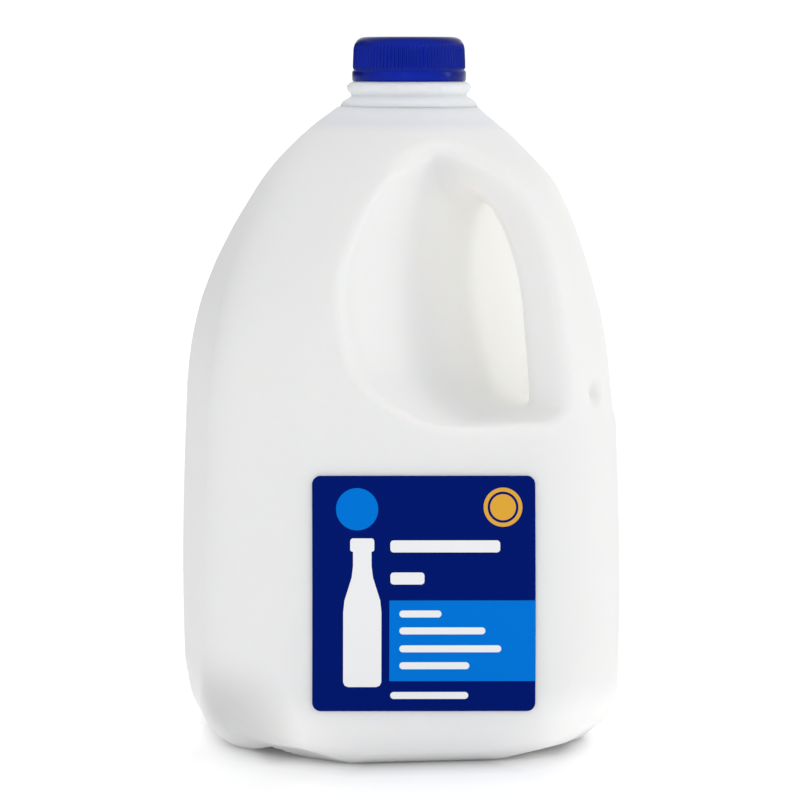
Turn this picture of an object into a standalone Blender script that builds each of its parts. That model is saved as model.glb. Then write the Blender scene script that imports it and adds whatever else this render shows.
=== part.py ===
"""A filled one gallon milk jug with a corner handle, a screw cap and a front label.

Blender 4.5, metres, +Z up. The label faces -Y, the handle stands in the corner between
+X and -Y, and the origin is the middle of the base.
"""

from math import cos, pi, radians, sin, sqrt

import bmesh
import bpy

MM = 0.001

# Body: a rounded square that turns round towards the neck. Height and half side, mm.
BODY_STATIONS = (
    (12.0, 76.0),
    (35.0, 76.6),
    (62.0, 76.9),
    (90.0, 76.3),
    (115.0, 75.4),
    (130.0, 74.8),
    (145.0, 73.2),
    (160.0, 70.9),
    (175.0, 67.1),
    (190.0, 61.3),
    (205.0, 53.0),
    (213.0, 47.0),
    (220.0, 40.2),
    (226.0, 34.0),
    (230.5, 28.3),
    (232.8, 25.6),
)
BODY_RING_HEIGHTS = (
    12.0, 22.0, 33.5, 48.0, 62.0, 76.0, 90.0, 103.0, 115.0, 130.0, 145.0, 157.0,
    168.0, 178.0, 187.0, 196.0, 205.0, 213.0, 220.0, 226.0, 230.5, 232.8,
)
CORNER_RATIO = 0.48
ROUNDING_START = 140.0
ROUNDING_END = 232.0

# The neck leans a few millimetres towards the handle corner.
SHOULDER_SHIFT = 4.5
NECK_SHIFT = 6.0

# Base: edge rounding as height and inset, then the pushed up middle.
BASE_EDGE = ((0.0, 7.0), (1.6, 3.0), (5.5, 0.9))
BASE_PUSH_UP = 4.0
BASE_FOOT_INSET = 16.0
BASE_PUSH_INSET = 26.0
CORNER_LIFT_START = 69.3
CORNER_LIFT_SLOPE = 0.385
CORNER_LIFT_HEIGHT = 34.0
FACET_AT_FLOOR = 85.4
FACET_TOP = 33.5
FACET_AT_TOP = 93.6

# Neck, each a height and a radius.
NECK_OUTSIDE = (
    (234.9, 24.8),
    (236.4, 23.0),
    (237.3, 21.4),
    (238.5, 22.3),
    (240.2, 23.1),
    (241.5, 22.6),
    (242.0, 21.0),
    (242.1, 18.2),
    (256.2, 18.2),
)
MOUTH_RADIUS = 17.2

# Walls.
WALL = 0.9
MILK_GAP = 0.35
MILK_LEVEL = 226.5

# Finger gap: u runs through the gap, v runs from the middle of the jug to the handle.
GAP_BOTTOM = 118.0
GAP_TOP = 222.0
GAP_WALL = (
    (118.0, 62.0),
    (119.0, 52.0),
    (121.5, 46.0),
    (128.0, 39.5),
    (136.0, 35.5),
    (147.0, 32.6),
    (165.0, 29.4),
    (183.0, 26.8),
    (205.0, 26.4),
    (213.0, 27.6),
    (218.0, 31.0),
    (221.0, 39.0),
    (222.0, 50.0),
)
GAP_RIDGE = 7.0
GAP_RIDGE_SPAN = 70.0
GAP_RIDGE_TIP = 4.0
GAP_RIDGE_TIP_SPAN = 24.0
GAP_STATIONS = (-100.0, -70.0, -48.0, -32.0, -20.0, -9.0, 0.0, 9.0, 20.0, 32.0, 48.0, 70.0, 100.0)
GAP_REACH = 125.0

# Handle: height, half width and how far its inner side is from the middle of the jug.
HANDLE_SECTIONS = (
    (110.0, 24.0, 20.0),
    (118.5, 20.0, 20.0),
    (122.5, 16.0, 42.0),
    (124.0, 15.0, 53.0),
    (127.5, 14.0, 61.8),
    (133.0, 13.0, 65.6),
    (145.0, 12.5, 65.2),
    (165.0, 12.0, 62.4),
    (178.0, 11.0, 58.2),
    (187.0, 10.4, 54.0),
    (193.5, 10.4, 50.0),
    (198.0, 10.8, 45.0),
    (200.0, 11.2, 20.0),
    (206.0, 13.0, 18.0),
    (213.0, 17.0, 16.0),
    (225.0, 30.0, 14.0),
)
HANDLE_ROUNDING = 8.5

# How far the handle stands out of the rounded corner, by height.
HANDLE_BULGE = (
    (155.0, 0.0),
    (168.0, 0.6),
    (178.0, 2.0),
    (187.0, 3.5),
    (196.0, 5.2),
    (205.0, 5.6),
    (213.0, 4.2),
    (220.0, 1.0),
    (224.0, 0.0),
)
HANDLE_BULGE_FLAT = 15.0
HANDLE_BULGE_END = 33.0

# Cap.
CAP_BOTTOM = 242.5
CAP_RIBS = 90
CAP_RIB_DEPTH = 0.35
CAP_PROFILE = (
    (242.5, 21.1, 0),
    (246.2, 21.15, 0),
    (246.9, 20.75, 1),
    (255.4, 20.45, 1),
    (256.6, 20.2, 0),
    (258.2, 19.1, 0),
    (258.9, 17.2, 0),
)
CAP_BORE = 18.7
CAP_INSIDE_TOP = 256.9

# Label on the front.
LABEL_LEFT = -40.5
LABEL_RIGHT = 38.8
LABEL_BOTTOM = 18.8
LABEL_TOP = 102.5
LABEL_CORNER = 2.9
LABEL_GAP = 0.35
LABEL_THICKNESS = 0.4


def smooth(low, high, value):
    """From 0 at low to 1 at high, with soft ends."""
    share = min(max((value - low) / (high - low), 0.0), 1.0)
    return share * share * (3.0 - 2.0 * share)


def along(table, height, column=1):
    """Value of a table of rows at a height, straight between its rows."""
    if height <= table[0][0]:
        return table[0][column]
    for before, after in zip(table, table[1:]):
        if height <= after[0]:
            share = (height - before[0]) / (after[0] - before[0])
            return before[column] + share * (after[column] - before[column])
    return table[-1][column]


def body_shift(height):
    shift = SHOULDER_SHIFT * smooth(135.0, 205.0, height)
    return shift + (NECK_SHIFT - SHOULDER_SHIFT) * smooth(226.0, 238.0, height)


def rounded_square(angle, half, corner):
    """Distance from the middle of a rounded square to its edge."""
    side = half - corner
    across = abs(cos(angle))
    up = abs(sin(angle))
    if half * up <= side * across:
        return half / across
    if half * across <= side * up:
        return half / up
    middle = side * (across + up)
    return middle + sqrt(max(middle * middle - 2.0 * side * side + corner * corner, 0.0))


def ring_angles(per_quarter):
    """Angles round the jug, closer together at the four corners."""
    half = per_quarter // 2
    angles = []
    for quarter in range(4):
        middle = 45.0 + 90.0 * quarter
        for step in range(-half, half):
            sign = -1.0 if step < 0 else 1.0
            angles.append(radians(middle + sign * 45.0 * (abs(step) / half) ** 1.35))
    return angles


def corner_distance(x, y):
    return (abs(x) + abs(y)) / sqrt(2.0)


def body_ring(height, half, inset, angles):
    """One closed ring of points of the body, set in from the outer face."""
    rounding = CORNER_RATIO + (1.0 - CORNER_RATIO) * smooth(ROUNDING_START, ROUNDING_END, height)
    corner = half * rounding - inset
    shift = body_shift(height) / sqrt(2.0)
    ring = []
    for angle in angles:
        reach = rounded_square(angle, half - inset, corner)
        x = reach * cos(angle)
        y = reach * sin(angle)
        if height < FACET_TOP:
            facet = FACET_AT_FLOOR + (FACET_AT_TOP - FACET_AT_FLOOR) * height / FACET_TOP - inset
            shrink = min(1.0, facet / corner_distance(x, y))
            x = x * shrink
            y = y * shrink
        lift = max(0.0, corner_distance(x, y) - CORNER_LIFT_START) * CORNER_LIFT_SLOPE
        lift = lift * max(0.0, 1.0 - height / CORNER_LIFT_HEIGHT)
        if x > y:
            beside = smooth(HANDLE_BULGE_END, HANDLE_BULGE_FLAT, abs(x + y) / sqrt(2.0))
            bulge = along(HANDLE_BULGE, height) * beside / sqrt(2.0)
            x = x + bulge
            y = y - bulge
        ring.append((x + shift, y - shift, height + lift))
    return ring


def round_ring(height, radius, angles):
    shift = body_shift(height) / sqrt(2.0)
    return [(radius * cos(a) + shift, radius * sin(a) - shift, height) for a in angles]


def body_rings(inset, per_quarter, top):
    """Rings of the body from the pushed up middle of the base to the given height."""
    angles = ring_angles(per_quarter)
    foot = BODY_STATIONS[0][1]
    rings = [body_ring(BASE_PUSH_UP + inset, foot - BASE_PUSH_INSET, 0.0, angles)]
    rings.append(body_ring(inset, foot - BASE_FOOT_INSET, 0.0, angles))
    for height, edge in BASE_EDGE:
        rings.append(body_ring(height + inset, foot - edge, inset, angles))
    for height in BODY_RING_HEIGHTS:
        if height < top - 1.0:
            rings.append(body_ring(height, along(BODY_STATIONS, height), inset, angles))
    if top < BODY_STATIONS[-1][0]:
        rings.append(body_ring(top, along(BODY_STATIONS, top), inset, angles))
    return rings


def link(obj, collection):
    collection.objects.link(obj)
    return obj


def loft(name, rings, collection):
    """A closed solid through rings of equal length, flat at both ends."""
    mesh = bpy.data.meshes.new(name)
    work = bmesh.new()
    rows = [[work.verts.new((x * MM, y * MM, z * MM)) for x, y, z in ring] for ring in rings]
    for lower, upper in zip(rows, rows[1:]):
        for i in range(len(lower)):
            j = (i + 1) % len(lower)
            work.faces.new((lower[i], lower[j], upper[j]))
            work.faces.new((lower[i], upper[j], upper[i]))
    work.faces.new(rows[0][::-1])
    work.faces.new(rows[-1])
    bmesh.ops.recalc_face_normals(work, faces=work.faces[:])
    work.to_mesh(mesh)
    work.free()
    return link(bpy.data.objects.new(name, mesh), collection)


def cut(target, cutter, name):
    modifier = target.modifiers.new(name, "BOOLEAN")
    modifier.operation = "DIFFERENCE"
    modifier.solver = "EXACT"
    modifier.object = cutter
    return modifier


def from_gap(u, v, z):
    """A point of the jug from its place through and out along the handle corner."""
    return ((u + v) / sqrt(2.0), (u - v) / sqrt(2.0), z)


def gap_section(u, grow):
    """The scoops and the finger gap, cut across at one place along u."""
    ridge = GAP_RIDGE * max(0.0, 1.0 - (abs(u) / GAP_RIDGE_SPAN) ** 2)
    ridge = ridge + GAP_RIDGE_TIP * max(0.0, 1.0 - abs(u) / GAP_RIDGE_TIP_SPAN) ** 2
    last = len(GAP_WALL) - 1
    section = []
    for i, (height, wall) in enumerate(GAP_WALL):
        z = height - grow if i == 0 else height + grow if i == last else height
        section.append(from_gap(u, wall + ridge - grow, z))
    section.append(from_gap(u, GAP_REACH, GAP_TOP + grow))
    section.append(from_gap(u, GAP_REACH, GAP_BOTTOM - grow))
    return section


def handle_section(height, half, inner, shrink):
    """The block that the handle is left from: open outwards, rounded on its inner side."""
    width = half - shrink
    near = inner + shrink
    round_off = HANDLE_ROUNDING - shrink
    section = [from_gap(-width, GAP_REACH + 10.0, height)]
    for step in range(5):
        angle = radians(90.0 * step / 4)
        u = -width + round_off * (1.0 - cos(angle))
        v = near + round_off * (1.0 - sin(angle))
        section.append(from_gap(u, v, height))
    for step in range(5):
        angle = radians(90.0 - 90.0 * step / 4)
        u = width - round_off * (1.0 - cos(angle))
        v = near + round_off * (1.0 - sin(angle))
        section.append(from_gap(u, v, height))
    section.append(from_gap(width, GAP_REACH + 10.0, height))
    return section


def gap_cutter(label, inset, collection):
    """The scoops and finger gap less the handle, made larger by the inset."""
    scoops = loft("cut_scoops_" + label, [gap_section(u, inset) for u in GAP_STATIONS], collection)
    rows = [handle_section(z, half, inner, inset) for z, half, inner in HANDLE_SECTIONS]
    handle = loft("keep_handle_" + label, rows, collection)
    cut(scoops, handle, "leave_handle")
    return scoops


def cap_rings():
    rings = []
    centre = NECK_SHIFT / sqrt(2.0)
    for height, radius, ribbed in CAP_PROFILE:
        ring = []
        for i in range(2 * CAP_RIBS):
            angle = pi * i / CAP_RIBS
            reach = radius - CAP_RIB_DEPTH * ribbed * (i % 2)
            ring.append((reach * cos(angle) + centre, reach * sin(angle) - centre, height))
        rings.append(ring)
    return rings


def label_rows():
    """Cross sections of the label from its lower edge up, following the front face."""
    heights = [LABEL_BOTTOM, LABEL_BOTTOM + 0.3, LABEL_BOTTOM + 1.1, LABEL_BOTTOM + LABEL_CORNER]
    heights += [z for z in BODY_RING_HEIGHTS if LABEL_BOTTOM + 4.0 < z < LABEL_TOP - 4.0]
    heights += [LABEL_TOP - LABEL_CORNER, LABEL_TOP - 1.1, LABEL_TOP - 0.3, LABEL_TOP]
    rows = []
    for z in heights:
        edge = min(z - LABEL_BOTTOM, LABEL_TOP - z)
        drop = max(0.0, LABEL_CORNER - edge)
        inset = LABEL_CORNER - sqrt(max(LABEL_CORNER ** 2 - drop ** 2, 0.0))
        inset = min(inset, LABEL_CORNER - 0.4)
        back = -(along(BODY_STATIONS, z) + LABEL_GAP)
        front = back - LABEL_THICKNESS
        left = LABEL_LEFT + inset
        right = LABEL_RIGHT - inset
        rows.append([(left, back, z), (left, front, z), (right, front, z), (right, back, z)])
    return rows


def material(name, colour, roughness):
    made = bpy.data.materials.new(name)
    made.use_nodes = True
    shader = made.node_tree.nodes["Principled BSDF"]
    shader.inputs["Base Color"].default_value = (*colour, 1.0)
    shader.inputs["Roughness"].default_value = roughness
    shader.inputs["Metallic"].default_value = 0.0
    made.diffuse_color = (*colour, 1.0)
    return made


def paint(obj, slot):
    obj.data.materials.append(slot)
    return obj


def clear_scene():
    for obj in list(bpy.data.objects):
        bpy.data.objects.remove(obj, do_unlink=True)


def new_collection(name, hidden):
    made = bpy.data.collections.new(name)
    bpy.context.scene.collection.children.link(made)
    made.hide_render = hidden
    return made


def main():
    clear_scene()
    scene = bpy.context.scene
    scene.unit_settings.system = "METRIC"
    parts = new_collection("milk_jug", False)
    cutters = new_collection("milk_jug_cutters", True)

    # Inside of the shell, open through the mouth.
    inside_rings = body_rings(WALL, 12, 300.0)
    angles = ring_angles(12)
    inside_rings.append(round_ring(236.8, MOUTH_RADIUS + 2.4, angles))
    inside_rings.append(round_ring(239.0, MOUTH_RADIUS, angles))
    inside_rings.append(round_ring(260.0, MOUTH_RADIUS, angles))
    inside = loft("cut_inside", inside_rings, cutters)
    cut(inside, gap_cutter("inside", WALL, cutters), "finger_gap")

    # Shell of the jug.
    shell_rings = body_rings(0.0, 12, 300.0)
    shell_rings += [round_ring(height, radius, angles) for height, radius in NECK_OUTSIDE]
    jug = loft("jug", shell_rings, parts)
    cut(jug, gap_cutter("shell", 0.0, cutters), "finger_gap")
    cut(jug, inside, "hollow")
    paint(jug, material("jug_plastic", (0.86, 0.87, 0.88), 0.35))

    # Milk up to its level under the neck.
    milk_inset = WALL + MILK_GAP
    milk = loft("milk", body_rings(milk_inset, 12, MILK_LEVEL), parts)
    cut(milk, gap_cutter("milk", milk_inset, cutters), "finger_gap")
    paint(milk, material("milk_liquid", (0.93, 0.92, 0.88), 0.3))

    # Screw cap with a ribbed skirt over a smooth band.
    cap = loft("cap", cap_rings(), parts)
    centre = NECK_SHIFT / sqrt(2.0) * MM
    depth = (CAP_INSIDE_TOP - CAP_BOTTOM + 5.0) * MM
    bpy.ops.mesh.primitive_cylinder_add(vertices=48, radius=CAP_BORE * MM, depth=depth)
    bore = bpy.context.object
    bore.name = "cut_cap_bore"
    bore.location = (centre, -centre, CAP_INSIDE_TOP * MM - depth / 2.0)
    for owner in list(bore.users_collection):
        owner.objects.unlink(bore)
    link(bore, cutters)
    cut(cap, bore, "bore")
    paint(cap, material("cap_plastic", (0.016, 0.03, 0.28), 0.35))

    # Label.
    label = loft("label", label_rows(), parts)
    paint(label, material("label_print", (0.003, 0.009, 0.12), 0.4))

    for obj in cutters.objects:
        obj.hide_render = True
        obj.display_type = "WIRE"


main()
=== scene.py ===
from math import cos, pi, radians, sin, sqrt

import bmesh
import bpy
import numpy as np
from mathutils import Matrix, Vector


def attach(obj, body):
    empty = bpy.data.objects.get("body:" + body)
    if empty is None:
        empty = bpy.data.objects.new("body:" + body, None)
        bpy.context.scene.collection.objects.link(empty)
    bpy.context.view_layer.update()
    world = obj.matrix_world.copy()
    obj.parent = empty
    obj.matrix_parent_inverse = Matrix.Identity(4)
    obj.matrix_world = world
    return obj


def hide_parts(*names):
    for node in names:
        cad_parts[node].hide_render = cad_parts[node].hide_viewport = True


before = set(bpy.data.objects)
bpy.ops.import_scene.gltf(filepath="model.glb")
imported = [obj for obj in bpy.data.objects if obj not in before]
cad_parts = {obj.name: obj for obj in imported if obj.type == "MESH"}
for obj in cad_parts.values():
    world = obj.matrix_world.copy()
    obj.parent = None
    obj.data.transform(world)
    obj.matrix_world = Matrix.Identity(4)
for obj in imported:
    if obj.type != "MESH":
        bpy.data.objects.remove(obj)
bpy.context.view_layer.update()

MM = 0.001
ROOT2 = sqrt(2.0)
scene = bpy.context.scene

# Shape of the jug in mm, close to the solids and fitted to the photo. Each row of a table is a
# height and a measure at that height. The handle stands on the diagonal between +x and -y.

# half the body's width
BODY_STATIONS = (
    (12.0, 76.0), (35.0, 76.6), (62.0, 76.85), (90.0, 76.3), (115.0, 75.4), (130.0, 74.8),
    (145.0, 73.2), (160.0, 71.0), (175.0, 67.3), (190.0, 61.7), (205.0, 53.9), (213.0, 48.1),
    (220.0, 41.4), (226.0, 35.1), (230.5, 29.1), (232.8, 26.0), (236.0, 23.0),
)
# the scoops' back wall, out along the diagonal, at the body's faces
GAP_WALL = (
    (100.0, 42.0), (118.0, 39.5), (128.0, 37.4), (136.0, 35.3), (147.0, 32.6), (165.0, 29.4),
    (183.0, 26.9), (205.0, 26.4), (213.0, 27.6), (218.0, 31.0), (221.0, 35.0), (230.0, 44.0),
)
# half the handle's width
HANDLE_WIDTH = (
    (100.0, 22.0), (116.0, 19.0), (122.5, 15.8), (127.5, 14.4), (133.0, 14.2), (145.0, 14.0),
    (155.0, 13.9), (165.0, 13.2), (178.0, 12.0), (188.0, 11.3), (197.0, 11.4), (204.0, 12.8),
    (213.0, 17.0), (225.0, 30.0), (240.0, 46.0),
)
# how far the handle stands out of the body's rounded corner
HANDLE_BULGE = (
    (120.0, 0.0), (155.0, 0.0), (168.0, 0.6), (178.0, 2.0), (187.0, 3.6), (196.0, 5.3),
    (205.0, 5.8), (213.0, 4.2), (220.0, 1.0), (226.0, 0.0), (240.0, 0.0),
)
# the handle's inner side, out along the diagonal
HANDLE_INNER = (
    (100.0, 68.5), (120.0, 67.6), (133.0, 66.4), (145.0, 65.2), (165.0, 62.6), (178.0, 58.4),
    (187.0, 54.2), (195.0, 49.2), (202.0, 44.0), (215.0, 34.0),
)

# The shoulder and the neck lean towards the handle
SHOULDER_SHIFT = 4.5
NECK_SHIFT = 1.5

# Radius of the body's corners as a share of its half width, and what it gains up to the neck
CORNER_SHARE = 0.48
CORNER_GAIN = 0.52

# Foot: a cut facet at each corner, a pushed up middle, and lifted corners hollow behind their rim
FACET_AT_FLOOR = 85.2
FACET_LEAN = 0.245
FACET_LENGTH = 0.971
FACET_ROUND = 2.5
PUSH_UP = 4.0
RIM_WIDE = 3.0
HOLLOW_WIDE = 12.0
HOLLOW_SLOPE = 0.2
LIFT_FROM = 70.3
LIFT_SLOPE = 0.455
LIFT_LESS_RIGHT = 0.16
LIFT_LENGTH = 0.933
FOOT_ROUND = 4.2
FOOT_ROUND_GAIN = 11.8

# Scoops: the wall bends out to the diagonal, with a ridge there, down to a rounded floor
SCOOP_HALF = 70.0
WALL_BEND = 7.0
WALL_LENGTH = 0.97
RIDGE_HEIGHT = 4.6
RIDGE_HALF = 26.0
RIDGE_BLUNT = 4.5
SCOOP_FLOOR = 119.6
FLOOR_BEND = 3.0
FLOOR_ROUND = 9.0
FLOOR_ROUND_GAIN = 17.0

# Finger gap and handle
HOLE_BOTTOM = 123.5
HOLE_TOP = 200.3
HOLE_ROUND = 5.5
INNER_LENGTH = 0.94
HANDLE_ROUND = 8.5
ROOT_FILL = 6.0

# Edge round the scoops: sharp low down, softer beside the handle and softest at the top
EDGE_ROUND = 0.8
EDGE_BESIDE = 1.8
EDGE_TOP = 5.0

# Relief: a low bead outside the scoops' edge, a groove inside it, a dent low on the handle
BEAD = 0.5
BEAD_OUT = 1.3
GROOVE_IN = -1.9
BEAD_WIDE = 1.1
GROOVE_REACH = 2.5
DENT = 3.2
DENT_AT = 131.0
DENT_WIDE = 3.4
DENT_TALL = 4.4

# Levels that cut the body under the neck and the milk at its top
BODY_TOP = 233.4
MILK_TOP = 226.5
MILK_GAP = 0.5


def table_curve(rows, blur):
    """A smooth curve through a short table, as fine samples for np.interp."""
    low, high = rows[0][0], rows[-1][0]
    z = np.arange(low, high + 0.25, 0.5)
    value = np.interp(z, [r[0] for r in rows], [r[1] for r in rows])
    reach = int(4 * blur / 0.5)
    kernel = np.exp(-0.5 * (np.arange(-reach, reach + 1) * 0.5 / blur) ** 2)
    kernel /= kernel.sum()
    first = 2 * value[0] - value[reach:0:-1]
    last = 2 * value[-1] - value[-2:-reach - 2:-1]
    return z, np.convolve(np.concatenate([first, value, last]), kernel, "valid")


HALF = table_curve(BODY_STATIONS, 3.0)
WALL = table_curve(GAP_WALL, 3.0)
WIDTH = table_curve(HANDLE_WIDTH, 3.0)
INNER = table_curve(HANDLE_INNER, 4.0)
BULGE = table_curve(HANDLE_BULGE, 3.0)


def at(curve, z):
    return np.interp(z, curve[0], curve[1])


def step(low, high, value):
    """Nothing at low and 1 at high, smooth at both."""
    share = np.clip((value - low) / (high - low), 0.0, 1.0)
    return share * share * (3.0 - 2.0 * share)


def hump(value, middle, wide):
    """1 at the middle, falling off both ways."""
    return np.exp(-((value - middle) / wide) ** 2)


def meet(a, b, r):
    """Both at once, with the outer edge between them rounded to r."""
    rounded = np.hypot(np.maximum(a + r, 0.0), np.maximum(b + r, 0.0))
    return np.minimum(-r, np.maximum(a, b)) + rounded


def join(a, b, r):
    """Either one, with the inner edge between them filled to r."""
    filled = np.hypot(np.maximum(r - a, 0.0), np.maximum(r - b, 0.0))
    return np.maximum(r, np.minimum(a, b)) - filled


def shift_at(z):
    return SHOULDER_SHIFT * step(135.0, 205.0, z) + NECK_SHIFT * step(226.0, 238.0, z)


def body_field(x, y, z):
    """Less than nothing inside the plain body, before the scoops."""
    # the handle's corner stands out
    beside = step(33.0, 15.0, np.abs(x + y) / ROOT2) * step(5.0, 25.0, (x - y) / ROOT2)
    shift = (shift_at(z) + at(BULGE, z) * beside) / ROOT2
    px = np.abs(x - shift)
    py = np.abs(y + shift)
    # a square with rounded corners, measured square to its leaning side
    half = at(HALF, z)
    corner = half * (CORNER_SHARE + CORNER_GAIN * step(140.0, 232.0, z))
    qx = px - (half - corner)
    qy = py - (half - corner)
    flat = np.hypot(np.maximum(qx, 0.0), np.maximum(qy, 0.0))
    flat = flat + np.minimum(np.maximum(qx, qy), 0.0) - corner
    lean = at(HALF, z + 0.5) - at(HALF, z - 0.5)
    flat = flat / np.sqrt(1.0 + lean * lean)
    # the foot's facets, then its underside
    out = (px + py) / ROOT2
    facet = (out - (FACET_AT_FLOOR + FACET_LEAN * z)) * FACET_LENGTH
    flat = meet(flat, facet, FACET_ROUND)
    middle = PUSH_UP * step(60.0, 50.0, np.maximum(px, py))
    hollow = HOLLOW_SLOPE * np.clip(-flat - RIM_WIDE, 0.0, HOLLOW_WIDE) * step(71.0, 78.0, out)
    slope = LIFT_SLOPE - LIFT_LESS_RIGHT * step(-30.0, 30.0, x)
    lift = (slope * (out - LIFT_FROM) + hollow - z) * LIFT_LENGTH
    under = np.maximum(middle - z, lift)
    # the foot's edge is rounder at the sides than in front
    return meet(flat, under, FOOT_ROUND + FOOT_ROUND_GAIN * step(-16.0, 26.0, px - py))


def field(x, y, z):
    """Less than nothing inside the jug. u runs across the handle's diagonal, v out along it."""
    u = (x + y) / ROOT2
    v = (x - y) / ROOT2
    away = np.abs(u)
    share = np.clip(away / SCOOP_HALF, 0.0, 1.0)
    # the scoops: outside the wall and above their floor
    ridge = np.clip(1.0 - np.hypot(away, RIDGE_BLUNT) / RIDGE_HALF, 0.0, 1.0) ** 2
    wall = at(WALL, z) + WALL_BEND * (1.0 - share * share) + RIDGE_HEIGHT * ridge
    floor = SCOOP_FLOOR + FLOOR_BEND * (1.0 - share)
    scoop = meet((wall - v) * WALL_LENGTH, floor - z, FLOOR_ROUND + FLOOR_ROUND_GAIN * share)
    # the handle across them, with the finger gap behind it
    ends = np.maximum(HOLE_BOTTOM - z, z - HOLE_TOP)
    hole = meet((v - at(INNER, z)) * INNER_LENGTH, ends, HOLE_ROUND)
    handle = meet(away - at(WIDTH, z), -hole, HANDLE_ROUND)
    kept = join(-scoop, handle, ROOT_FILL)
    edge = EDGE_ROUND + EDGE_BESIDE * step(46.0, 28.0, away) + EDGE_TOP * step(206.0, 217.0, z)
    body = body_field(x, y, z)
    # relief
    bead = BEAD * hump(scoop, BEAD_OUT, BEAD_WIDE)
    groove = BEAD * hump(body, GROOVE_IN, BEAD_WIDE) * hump(scoop, 0.0, GROOVE_REACH)
    where = step(22.0, 34.0, away) * step(115.0, 121.0, z) * step(216.0, 200.0, z)
    dent = DENT * hump(u, 0.0, DENT_WIDE) * hump(z, DENT_AT, DENT_TALL) * step(72.0, 80.0, v)
    return meet(body, kept, edge) + (groove - bead) * where + dent


def neck_cut(x, y, z):
    return meet(field(x, y, z), z - BODY_TOP, 0.6)


def milk_field(x, y, z):
    return np.maximum(field(x, y, z) + MILK_GAP, z - MILK_TOP)


# From a field to a mesh


def gradient(f, p, eps=0.25):
    g = np.empty_like(p)
    for k in range(3):
        d = np.zeros(3)
        d[k] = eps
        a = p + d
        b = p - d
        g[:, k] = (f(a[:, 0], a[:, 1], a[:, 2]) - f(b[:, 0], b[:, 1], b[:, 2])) / (2 * eps)
    return g


def grid_points(value, inside):
    """For each cell that the surface passes, a point, in cells, and its number, -1 for none."""
    cells = tuple(n - 1 for n in value.shape)
    total = np.zeros(cells + (3,))
    count = np.zeros(cells)
    side = [slice(0, -1), slice(1, None)]
    for axis in range(3):
        first, second = [k for k in range(3) if k != axis]
        for a in (0, 1):
            for b in (0, 1):
                pick = [side[0]] * 3
                pick[first] = side[a]
                pick[second] = side[b]
                f0 = value[tuple(pick)]
                s0 = inside[tuple(pick)]
                pick[axis] = side[1]
                f1 = value[tuple(pick)]
                s1 = inside[tuple(pick)]
                hit = s0 != s1
                along = np.where(hit, f0 / np.where(hit, f0 - f1, 1.0), 0.0)
                place = np.zeros(3)
                place[first] = a
                place[second] = b
                total += hit[..., None] * place
                total[..., axis] += along * hit
                count += hit
    used = count > 0
    number = np.full(cells, -1)
    number[used] = np.arange(used.sum())
    return np.argwhere(used) + total[used] / count[used][:, None], number


def grid_quads(inside, number):
    """A quad round each edge of the grid that the surface crosses, turned outwards."""
    quads = []
    for axis in range(3):
        first, second = [k for k in range(3) if k != axis]
        lower = [slice(1, -1)] * 3
        lower[axis] = slice(0, -1)
        upper = [slice(1, -1)] * 3
        upper[axis] = slice(1, None)
        start = inside[tuple(lower)]
        crossed = start != inside[tuple(upper)]
        base = np.argwhere(crossed)
        base[:, first] += 1
        base[:, second] += 1
        ring = []
        for d1, d2 in ((0, 0), (1, 0), (1, 1), (0, 1)):
            c = base.copy()
            c[:, first] -= d1
            c[:, second] -= d2
            ring.append(number[c[:, 0], c[:, 1], c[:, 2]])
        ring = np.stack(ring, 1)
        turn = start[crossed] if axis == 1 else ~start[crossed]
        ring[turn] = ring[turn][:, ::-1]
        quads.append(ring)
    return np.concatenate(quads)


def settle(f, points, quads, pitch):
    """Evens the points out along the surface and draws them onto it, three times over."""
    ends = np.concatenate([quads[:, [k, (k + 1) % 4]] for k in range(4)])
    for _ in range(3):
        near = np.zeros_like(points)
        links = np.zeros(len(points))
        for here, there in ((0, 1), (1, 0)):
            np.add.at(near, ends[:, here], points[ends[:, there]])
            np.add.at(links, ends[:, here], 1)
        points = points + 0.5 * (near / links[:, None] - points)
        for _ in range(2):
            g = gradient(f, points)
            size = np.maximum((g * g).sum(1), 0.05)
            move = -f(points[:, 0], points[:, 1], points[:, 2])[:, None] * g / size[:, None]
            length = np.linalg.norm(move, axis=1, keepdims=True)
            points = points + move * np.minimum(1.0, 0.6 * pitch / np.maximum(length, 1e-9))
    return points


def skin(f, low, high, pitch):
    """Points, quads and normals of the surface where f is nothing, found on a grid."""
    axes = [np.arange(low[k], high[k] + pitch, pitch) for k in range(3)]
    yy, zz = np.meshgrid(axes[1], axes[2], indexing="ij")
    value = np.stack([f(np.full(yy.shape, x), yy, zz) for x in axes[0]])
    inside = value < 0
    points, number = grid_points(value, inside)
    quads = grid_quads(inside, number)
    points = settle(f, points * pitch + np.array([a[0] for a in axes]), quads, pitch)
    normals = gradient(f, points)
    normals /= np.maximum(np.linalg.norm(normals, axis=1, keepdims=True), 1e-9)
    return points, quads, normals


def link(obj):
    scene.collection.objects.link(obj)
    return obj


def shade_smooth(mesh):
    mesh.polygons.foreach_set("use_smooth", [True] * len(mesh.polygons))


def skin_object(name, points, quads, material):
    mesh = bpy.data.meshes.new(name)
    mesh.from_pydata([tuple(p) for p in (points * MM).tolist()], [], quads.tolist())
    mesh.validate()
    mesh.update()
    shade_smooth(mesh)
    mesh.materials.append(material)
    return link(bpy.data.objects.new(name, mesh))


def bmesh_object(name, work, material):
    """An object of the bmesh, with its faces turned outwards."""
    bmesh.ops.recalc_face_normals(work, faces=work.faces[:])
    mesh = bpy.data.meshes.new(name)
    work.to_mesh(mesh)
    work.free()
    mesh.materials.append(material)
    return link(bpy.data.objects.new(name, mesh))


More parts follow.
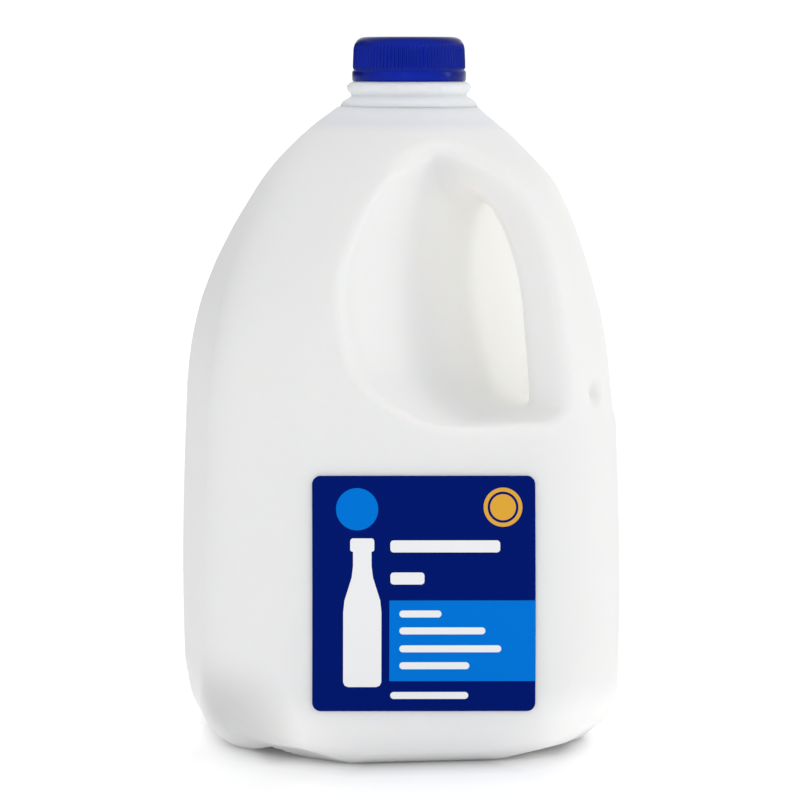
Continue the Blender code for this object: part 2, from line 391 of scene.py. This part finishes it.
def lathe(name, rows, count, wave, material, closed_top=False):
    """Rings round the neck's axis. wave(angle, row) is added to a ring's radius."""
    work = bmesh.new()
    rings = []
    for row, (z, radius) in enumerate(rows):
        ring = []
        for i in range(count):
            angle = 2 * pi * i / count
            reach = radius + wave(angle, row)
            place = (reach * cos(angle) + NECK_AT[0], reach * sin(angle) + NECK_AT[1], z)
            ring.append(work.verts.new([c * MM for c in place]))
        rings.append(ring)
    for a, b in zip(rings, rings[1:]):
        for i in range(count):
            j = (i + 1) % count
            work.faces.new((a[i], a[j], b[j], b[i]))
    if closed_top:
        work.faces.new(rings[-1])
    obj = bmesh_object(name, work, material)
    shade_smooth(obj.data)
    return obj


# Materials


def principled(name, colour, roughness, **values):
    made = bpy.data.materials.new(name)
    made.use_nodes = True
    shader = made.node_tree.nodes["Principled BSDF"]
    shader.inputs["Base Color"].default_value = (*colour, 1.0)
    shader.inputs["Roughness"].default_value = roughness
    for key, value in values.items():
        shader.inputs[key.replace("_", " ")].default_value = value
    made.diffuse_color = (*colour, 1.0)
    return made


def srgb(*levels):
    """Linear colour from the 0 to 255 levels of a screen."""
    shares = [level / 255.0 for level in levels]
    return tuple(c / 12.92 if c <= 0.04045 else ((c + 0.055) / 1.055) ** 2.4 for c in shares)


def feed(tree, socket, value):
    """Sets a socket to a number or colour, or links another node's output to it."""
    if isinstance(value, bpy.types.NodeSocket):
        tree.links.new(value, socket)
    else:
        socket.default_value = value


def object_place(tree):
    """The place on the piece, in metres, and its x, y and z."""
    place = tree.nodes.new("ShaderNodeTexCoord").outputs["Object"]
    split = tree.nodes.new("ShaderNodeSeparateXYZ")
    tree.links.new(place, split.inputs[0])
    return place, *(split.outputs[k] for k in "XYZ")


def math_node(tree, kind, *values):
    node = tree.nodes.new("ShaderNodeMath")
    node.operation = kind
    for socket, value in zip(node.inputs, values):
        feed(tree, socket, value)
    return node.outputs[0]


def product(tree, first, *others):
    for other in others:
        first = math_node(tree, "MULTIPLY", first, other)
    return first


def dot_node(tree, vector, way):
    node = tree.nodes.new("ShaderNodeVectorMath")
    node.operation = "DOT_PRODUCT"
    node.inputs[1].default_value = way
    tree.links.new(vector, node.inputs[0])
    return node.outputs["Value"]


def range_node(tree, value, start, end, low=0.0, high=1.0, kind="SMOOTHSTEP"):
    """Low where the value is start, high where it is end."""
    node = tree.nodes.new("ShaderNodeMapRange")
    node.interpolation_type = kind
    tree.links.new(value, node.inputs["Value"])
    for key, number in (("From Min", start), ("From Max", end), ("To Min", low), ("To Max", high)):
        node.inputs[key].default_value = number
    return node.outputs["Result"]


def ramp_node(tree, value, stops):
    """A colour ramp. The outer stops take the two that a new ramp has."""
    ramp = tree.nodes.new("ShaderNodeValToRGB")
    tree.links.new(value, ramp.inputs["Fac"])
    elements = ramp.color_ramp.elements
    for element, (where, colour) in zip(elements, (stops[0], stops[-1])):
        element.position = where
        element.color = (*colour, 1.0)
    for where, colour in stops[1:-1]:
        elements.new(where).color = (*colour, 1.0)
    return ramp.outputs["Color"]


def mix_node(tree, kind, share, first, second):
    """The first colour, and where share is 1 the second, or their product for MULTIPLY."""
    node = tree.nodes.new("ShaderNodeMix")
    node.data_type = "RGBA"
    node.blend_type = kind
    for key, value in (("Factor", share), ("A", first), ("B", second)):
        feed(tree, node.inputs[key], value)
    return node.outputs["Result"]


# Colours of the shell by height, from under the milk's level up to the neck
SHELL_LOW = 0.215
SHELL_HIGH = 0.245
SHELL_STOPS = (
    (0.30, (0.855, 0.858, 0.858)), (0.42, (0.79, 0.80, 0.84)), (0.64, (0.87, 0.885, 0.91)),
    (0.95, (0.81, 0.83, 0.86)),
)
# Painted light in the finger gap and on the foot, and painted shade at the foot's last 2 mm and
# low on the front left corner
GAP_PAINTED_LIGHT = (1.105, 1.09, 1.045)
FOOT_PAINTED_LIGHT = (1.11, 1.11, 1.105)
CONTACT_PAINTED_SHADE = (0.80, 0.80, 0.80)
LOW_LEFT_PAINTED_SHADE = (0.56, 0.56, 0.57)
LOW_LEFT_WAY = (-1.3, -0.7, -0.45)


def jug_material():
    """Natural polyethylene over milk: white, and greyer above the milk's level, with painted light
    in the finger gap and on the foot, and painted shade at the foot's edge and low on the front
    left corner.
    """
    made = principled("jug_plastic", (0.85, 0.85, 0.84), 0.42, Specular_IOR_Level=0.25,
                      Subsurface_Weight=0.8, Subsurface_Radius=(1.0, 0.9, 0.8),
                      Subsurface_Scale=0.008)
    tree = made.node_tree
    place, x, y, z = object_place(tree)

    def rise(value, start, end, kind="SMOOTHSTEP"):
        return range_node(tree, value, start, end, kind=kind)

    def tint(colour, share, by):
        return mix_node(tree, "MULTIPLY", share, colour, (*by, 1.0))

    colour = ramp_node(tree, rise(z, SHELL_LOW, SHELL_HIGH, "LINEAR"), SHELL_STOPS)
    # painted light: the milk is a little brighter and warmer in the finger gap and the scoops
    # beside it, where light comes through the gap
    inwards = rise(math_node(tree, "SUBTRACT", x, y), 0.02, 0.04)
    gap = product(tree, rise(y, -0.052, -0.030), rise(x, 0.072, 0.062), inwards,
                  rise(z, 0.108, 0.116), rise(z, 0.212, 0.196))
    colour = tint(colour, gap, GAP_PAINTED_LIGHT)
    # painted light makes the foot paler, and painted shade makes its last 2 mm darker, where it
    # meets the floor
    colour = tint(colour, rise(z, 0.028, 0.012), FOOT_PAINTED_LIGHT)
    colour = tint(colour, rise(z, 0.002, 0.0), CONTACT_PAINTED_SHADE)
    # painted shade: the corner between the front and the left side is greyest low down, where it
    # faces away from the lamps and towards the floor
    low_left = rise(dot_node(tree, place, LOW_LEFT_WAY), 0.105, 0.124, "LINEAR")
    grey = product(tree, low_left, rise(z, 0.044, 0.008))
    colour = tint(colour, grey, LOW_LEFT_PAINTED_SHADE)
    tree.links.new(colour, tree.nodes["Principled BSDF"].inputs["Base Color"])
    return made


def cap_material():
    """Dark blue moulded plastic, with painted shade that makes it deeper where it turns away from
    the view.
    """
    made = principled("cap_plastic", (0.0, 0.011, 0.285), 0.22, Specular_IOR_Level=0.1)
    tree = made.node_tree
    # painted shade: bright blue where the cap faces the camera, darker where it turns away
    turned = tree.nodes.new("ShaderNodeLayerWeight")
    turned.inputs["Blend"].default_value = 0.5
    colour = ramp_node(tree, turned.outputs["Facing"], (
        (0.0, (0.001, 0.016, 0.375)), (0.45, (0.0, 0.008, 0.19)), (1.0, (0.0, 0.005, 0.12))))
    tree.links.new(colour, tree.nodes["Principled BSDF"].inputs["Base Color"])
    return made


plastic = jug_material()
milk_white = principled("milk_liquid", (0.93, 0.92, 0.88), 0.25)
cap_blue = cap_material()
navy = principled("label_navy", (0.0, 0.009, 0.155), 0.6, Specular_IOR_Level=0.02)
bright = principled("label_bright_blue", (0.0, 0.18, 0.70), 0.6, Specular_IOR_Level=0.02)
white = principled("label_white", (0.88, 0.89, 0.90), 0.6, Specular_IOR_Level=0.1)
gold = principled("label_gold", srgb(226, 170, 60), 0.6, Specular_IOR_Level=0.04)

# The jug's body: one skin round the scoops, the finger gap and the handle

points, quads, normals = skin(neck_cut, (-79.3, -79.3, -2.6), (79.3, 79.3, 236.0), 1.45)
points[:, 2] = np.maximum(points[:, 2], 0.0)
body = skin_object("jug_body", points, quads, plastic)
body.data.normals_split_custom_set_from_vertices([tuple(n) for n in normals.tolist()])

# The milk's own surface, just inside the wall and cut flat at its level

points, quads, _ = skin(milk_field, (-79.0, -79.0, -2.0), (79.0, 79.0, 230.0), 3.2)
milk = skin_object("milk_fill", points, quads, milk_white)

# Neck: steps, groove and collar under the cap, and the finish inside it, as heights and radii

NECK_AT = (6.0 / ROOT2, -6.0 / ROOT2)
NECK_ROWS = (
    (232.4, 25.0), (232.9, 25.35), (233.6, 25.3), (234.4, 25.05), (235.1, 24.6), (235.7, 23.8),
    (236.2, 22.8), (236.7, 21.9), (237.2, 21.45), (237.7, 21.5), (238.2, 22.0), (238.8, 22.6),
    (239.5, 23.0), (240.3, 23.1), (240.9, 22.95), (241.4, 22.6), (241.9, 22.0), (242.25, 21.3),
    (242.42, 20.7), (242.44, 18.3), (242.6, 18.2), (255.8, 18.2), (256.2, 17.9), (256.2, 17.3),
    (255.8, 17.2), (238.0, 17.2),
)
LUGS = 9.0
LUG_ANGLE = radians(-96.0)
LUG_DEPTH = 0.5
COLLAR_AT = 240.0
COLLAR_HALF = 1.9


def lug(angle, row):
    """Nine low lugs round the collar, one of them towards the front."""
    near = cos(LUGS * (angle - LUG_ANGLE))
    share = min(max((near + 0.62) / 0.5, 0.0), 1.0)
    share = share * share * (3.0 - 2.0 * share)
    height = max(0.0, 1.0 - abs(NECK_ROWS[row][0] - COLLAR_AT) / COLLAR_HALF)
    return -LUG_DEPTH * (1.0 - share) * height


neck = lathe("jug_neck", NECK_ROWS, 360, lug, plastic)

# Cap: rounded top, ribbed skirt, step and smooth lower band, as heights, radii and share of ribs

CAP_ROWS = (
    (250.0, 18.7, 0.0), (243.4, 18.7, 0.0), (242.8, 18.9, 0.0), (242.5, 19.6, 0.0),
    (242.5, 20.6, 0.0), (242.7, 20.95, 0.0), (243.1, 21.1, 0.0), (244.6, 21.13, 0.0),
    (245.8, 21.12, 0.0), (246.1, 21.02, 0.0), (246.5, 20.66, 0.0), (246.7, 20.5, 0.0),
    (246.9, 20.48, 0.1), (247.2, 20.55, 0.6), (247.6, 20.6, 1.0), (249.5, 20.55, 1.0),
    (252.0, 20.45, 1.0), (254.2, 20.35, 1.0), (255.2, 20.25, 0.8), (256.0, 20.1, 0.35),
    (256.7, 19.85, 0.0), (257.4, 19.4, 0.0), (258.0, 18.8, 0.0), (258.45, 18.0, 0.0),
    (258.75, 17.0, 0.0), (258.88, 15.6, 0.0), (258.9, 12.0, 0.0), (258.9, 6.0, 0.0),
    (258.9, 2.0, 0.0),
)
RIBS = 90
RIB_HEIGHT = 0.26


def rib(angle, row):
    wave = cos(RIBS * angle) + 0.2 * cos(2 * RIBS * angle) - 0.2
    return CAP_ROWS[row][2] * RIB_HEIGHT * wave


cap = lathe("screw_cap", [row[:2] for row in CAP_ROWS], 720, rib, cap_blue, closed_top=True)

# Label: a thin printed sheet on the front, with plain shapes for its print. Its corners are in mm
# as x and z, and the print is placed in the photo's pixels.

BOTTOM_LEFT, BOTTOM_RIGHT = (-40.85, 19.9), (39.65, 18.0)
TOP_LEFT, TOP_RIGHT = (-40.65, 104.0), (39.4, 102.8)
LABEL_LEFT = 311.4
LABEL_LOW = 711.4
LABEL_WIDE = 223.2
LABEL_TALL = 235.6
LABEL_ROUND = 8.5
ARC_STEPS = 10
CIRCLE_STEPS = 56
BEND_STEP = 6.0

# The bottle's height in the photo and its half width there, from its foot to its mouth
BOTTLE_MIDDLE = 361.0
BOTTLE_SIDE = (
    (687.0, 14.0), (685.5, 17.5), (682.0, 19.0), (612.0, 19.0), (600.0, 17.8), (588.0, 14.0),
    (577.0, 10.6), (566.0, 9.2), (551.5, 9.2), (550.5, 11.5), (549.0, 12.0), (541.0, 12.0),
    (539.0, 11.4), (538.0, 10.0),
)


def label_point(s, t):
    """A place on the label, s from left to right and t from bottom to top, each 0 to 1."""
    left = [a + (b - a) * t for a, b in zip(BOTTOM_LEFT, TOP_LEFT)]
    right = [a + (b - a) * t for a, b in zip(BOTTOM_RIGHT, TOP_RIGHT)]
    return [a + (b - a) * s for a, b in zip(left, right)]


def from_photo(x, y):
    """A place in the photo as pixels from the label's lower left corner."""
    return x - LABEL_LEFT, LABEL_LOW - y


def rounded_box(left, low, right, high, r):
    """Outline of a box with corners of radius r."""
    r = min(r, (right - left) / 2 - 1e-3, (high - low) / 2 - 1e-3)
    corners = (
        (right - r, high - r, 0), (left + r, high - r, 90),
        (left + r, low + r, 180), (right - r, low + r, 270),
    )
    loop = []
    for cx, cy, start in corners:
        for i in range(ARC_STEPS + 1):
            angle = radians(start + 90 * i / ARC_STEPS)
            loop.append((cx + r * cos(angle), cy + r * sin(angle)))
    return loop


def photo_box(x0, y0, x1, y1, r):
    """A rounded box from its edges in the photo."""
    left, low = from_photo(x0, y1)
    right, high = from_photo(x1, y0)
    return rounded_box(left, low, right, high, r)


def circle(x, y, radius):
    cx, cy = from_photo(x, y)
    angles = [2 * pi * i / CIRCLE_STEPS for i in range(CIRCLE_STEPS)]
    return [(cx + radius * cos(a), cy + radius * sin(a)) for a in angles]


def bottle_outline():
    """A slender plain bottle, standing where the photo's tallest print stands."""
    right = [(BOTTLE_MIDDLE + half, y) for y, half in BOTTLE_SIDE]
    left = [(BOTTLE_MIDDLE - half, y) for y, half in reversed(BOTTLE_SIDE)]
    return [from_photo(x, y) for x, y in right + left]


def print_piece(name, loop, lift, thick, material):
    """A thin printed shape that follows the front. Its face stands lift mm off the jug."""
    work = bmesh.new()
    verts = []
    for px, py in loop:
        x, z = label_point(px / LABEL_WIDE, py / LABEL_TALL)
        verts.append(work.verts.new((x * MM, 0.0, z * MM)))
    work.faces.new(verts)
    # level cuts let it bend with the wall
    low = min(v.co.z for v in work.verts)
    high = max(v.co.z for v in work.verts)
    cuts = max(1, int((high - low) / (BEND_STEP * MM)))
    for i in range(1, cuts):
        level = low + (high - low) * (i + 0.013) / cuts
        bmesh.ops.bisect_plane(work, geom=work.verts[:] + work.edges[:] + work.faces[:],
                               dist=1e-7, plane_co=(0, 0, level), plane_no=(0, 0, 1))
    bmesh.ops.triangulate(work, faces=work.faces[:])
    back = bmesh.ops.extrude_face_region(work, geom=work.faces[:])
    behind = {v for v in back["geom"] if isinstance(v, bmesh.types.BMVert)}
    for v in work.verts:
        depth = thick if v in behind else 0.0
        v.co.y = -(float(at(HALF, v.co.z / MM)) + lift - depth) * MM
    return bmesh_object(name, work, material)


LOW_LIFT, MIDDLE_LIFT, TOP_LIFT = 0.25, 0.27, 0.29
PRINT_THICK = 0.08

sheet = print_piece("label_sheet", rounded_box(0, 0, LABEL_WIDE, LABEL_TALL, LABEL_ROUND),
                    0.22, 0.30, navy)
prints = [sheet]
for name, loop, lift, material in (
    ("print_blue_field", photo_box(388, 600, 534.2, 681, 0.3), LOW_LIFT, bright),
    ("print_bottle", bottle_outline(), LOW_LIFT, white),
    ("print_disc", circle(356, 509, 21), LOW_LIFT, bright),
    ("print_seal_edge", circle(502, 507, 19.5), LOW_LIFT, gold),
    ("print_seal_ring", circle(502, 507, 15.5), MIDDLE_LIFT, navy),
    ("print_seal", circle(502, 507, 13), TOP_LIFT, gold),
):
    prints.append(print_piece(name, loop, lift, PRINT_THICK, material))
for i, edges in enumerate((
    (389, 540, 499, 552), (389, 572, 423, 584), (398, 610, 440, 617), (398, 627, 484, 634),
    (398, 645, 500, 652), (398, 662, 468, 669), (389, 692, 467, 699),
)):
    line = photo_box(*edges, 3.4)
    prints.append(print_piece("print_line_%d" % i, line, MIDDLE_LIFT, PRINT_THICK, white))

# What rides on what, and what it stands for

for piece in (body, neck):
    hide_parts("jug")
    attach(piece, "root")
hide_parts("milk")
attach(milk, "root")
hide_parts("cap")
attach(cap, "root")
for piece in prints:
    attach(piece, "root")
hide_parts("label")

# Floor, in metres: white, and shaded by the distance from the foot

FLOOR_HALF = 40.0
FLOOR_WHITE = (0.97, 0.97, 0.97)
FLOOR_GLOW = 0.24
SHADE_CORE = 0.045
SHADE_FROM = 0.024
SHADE_CORNER = 0.062
SHADE_REACH = 0.1
SHADE_STOPS = (
    (0.0, 0.24), (0.08, 0.43), (0.15, 0.64), (0.22, 0.80), (0.31, 0.91), (0.50, 0.97), (1.0, 1.0),
)


def floor_material():
    """White, with a soft shade close round the foot of the jug as in the photo."""
    made = principled("floor_white", FLOOR_WHITE, 0.14, Specular_IOR_Level=0.12)
    tree = made.node_tree
    _, x, y, _ = object_place(tree)

    def math(kind, *values):
        return math_node(tree, kind, *values)

    wide = math("ABSOLUTE", x)
    deep = math("ABSOLUTE", y)
    # how far outside a rounded square, with its corners cut off
    past_x = math("MAXIMUM", math("SUBTRACT", wide, SHADE_CORE), 0.0)
    past_y = math("MAXIMUM", math("SUBTRACT", deep, SHADE_CORE), 0.0)
    squares = math("ADD", product(tree, past_x, past_x), product(tree, past_y, past_y))
    round_square = math("SUBTRACT", math("SQRT", squares), SHADE_FROM)
    slant = math("MULTIPLY", math("ADD", wide, deep), 1.0 / ROOT2)
    corner = math("SUBTRACT", slant, SHADE_CORNER)
    near = math("DIVIDE", math("MAXIMUM", round_square, corner), SHADE_REACH)
    shade = ramp_node(tree, near, [(where, (level,) * 3) for where, level in SHADE_STOPS])
    # it fades out at the jug's left and right
    beside = range_node(tree, wide, 0.052, 0.078)
    shade = mix_node(tree, "MIX", beside, shade, (1.0, 1.0, 1.0, 1.0))
    colour = mix_node(tree, "MULTIPLY", 1.0, (*FLOOR_WHITE, 1.0), shade)
    shader = tree.nodes["Principled BSDF"]
    tree.links.new(colour, shader.inputs["Base Color"])
    tree.links.new(colour, shader.inputs["Emission Color"])
    shader.inputs["Emission Strength"].default_value = FLOOR_GLOW
    return made


def floor_plane():
    near, far = -FLOOR_HALF, FLOOR_HALF
    mesh = bpy.data.meshes.new("floor")
    corners = [(near, near, 0.0), (far, near, 0.0), (far, far, 0.0), (near, far, 0.0)]
    mesh.from_pydata(corners, [], [(0, 1, 2, 3)])
    mesh.update()
    mesh.materials.append(floor_material())
    return link(bpy.data.objects.new("floor", mesh))


floor = floor_plane()

# Lights


def area(name, place, target, size, power, colour=(1.0, 1.0, 1.0)):
    """A lamp of size metres and power watts at a place, turned to a target."""
    lamp = bpy.data.lights.new(name, "AREA")
    lamp.shape = "RECTANGLE"
    lamp.size, lamp.size_y = size
    lamp.energy = power
    lamp.color = colour
    obj = link(bpy.data.objects.new(name, lamp))
    obj.location = place
    obj.rotation_mode = "QUATERNION"
    obj.rotation_quaternion = (Vector(target) - Vector(place)).to_track_quat("-Z", "Y")


area("key_right", (1.72, -0.40, 0.58), (0.0, 0.0, 0.13), (0.32, 0.9), 4.4, (1.0, 0.985, 0.95))
area("front_strip", (-0.62, -2.1, 0.7), (0.0, 0.0, 0.12), (0.14, 1.4), 1.6)
area("fill_left", (-1.8, -1.15, 0.9), (0.0, 0.0, 0.13), (0.8, 1.2), 1.3)

# The surround: brightest behind the jug and above it, dark behind on the left for the jug's edge

WORLD_LEVEL = 0.80
DARK_SIDE = Vector((-0.616, 0.788, 0.0))
DARK_LEVEL = 0.04
BEHIND = Vector((0.14, 0.99, 0.0))
BEHIND_GAIN = 1.30
ABOVE = Vector((0.0, 0.0, 1.0))
ABOVE_GAIN = 1.12


def studio_world():
    made = bpy.data.worlds.new("studio")
    made.use_nodes = True
    tree = made.node_tree
    place = tree.nodes.new("ShaderNodeTexCoord").outputs["Generated"]

    def toward(way, start, end, low, high):
        """Low away from the way given, high along it."""
        return range_node(tree, dot_node(tree, place, way), start, end, low, high)

    level = product(tree, toward(DARK_SIDE, 0.79, 0.96, WORLD_LEVEL, DARK_LEVEL),
                    toward(BEHIND, 0.90, 0.985, 1.0, BEHIND_GAIN),
                    toward(ABOVE, 0.3, 0.9, 1.0, ABOVE_GAIN))
    back = tree.nodes["Background"]
    tree.links.new(level, back.inputs["Strength"])
    back.inputs["Color"].default_value = (1.0, 1.0, 1.0, 1.0)
    return made


scene.world = studio_world()
scene.view_settings.view_transform = "Standard"

# Camera: level with the cap, to the left of the jug

YAW = radians(8.028)
PITCH_DOWN = radians(5.191)
lens = bpy.data.cameras.new("camera")
lens.sensor_width = 36.0
lens.lens = 170.66
lens.clip_end = 200.0
camera = link(bpy.data.objects.new("camera", lens))
camera.location = (-0.196, -1.4, 0.252)
camera.rotation_mode = "QUATERNION"
ahead = Vector((sin(YAW) * cos(PITCH_DOWN), cos(YAW) * cos(PITCH_DOWN), -sin(PITCH_DOWN)))
camera.rotation_quaternion = ahead.to_track_quat("-Z", "Y")
scene.camera = camera
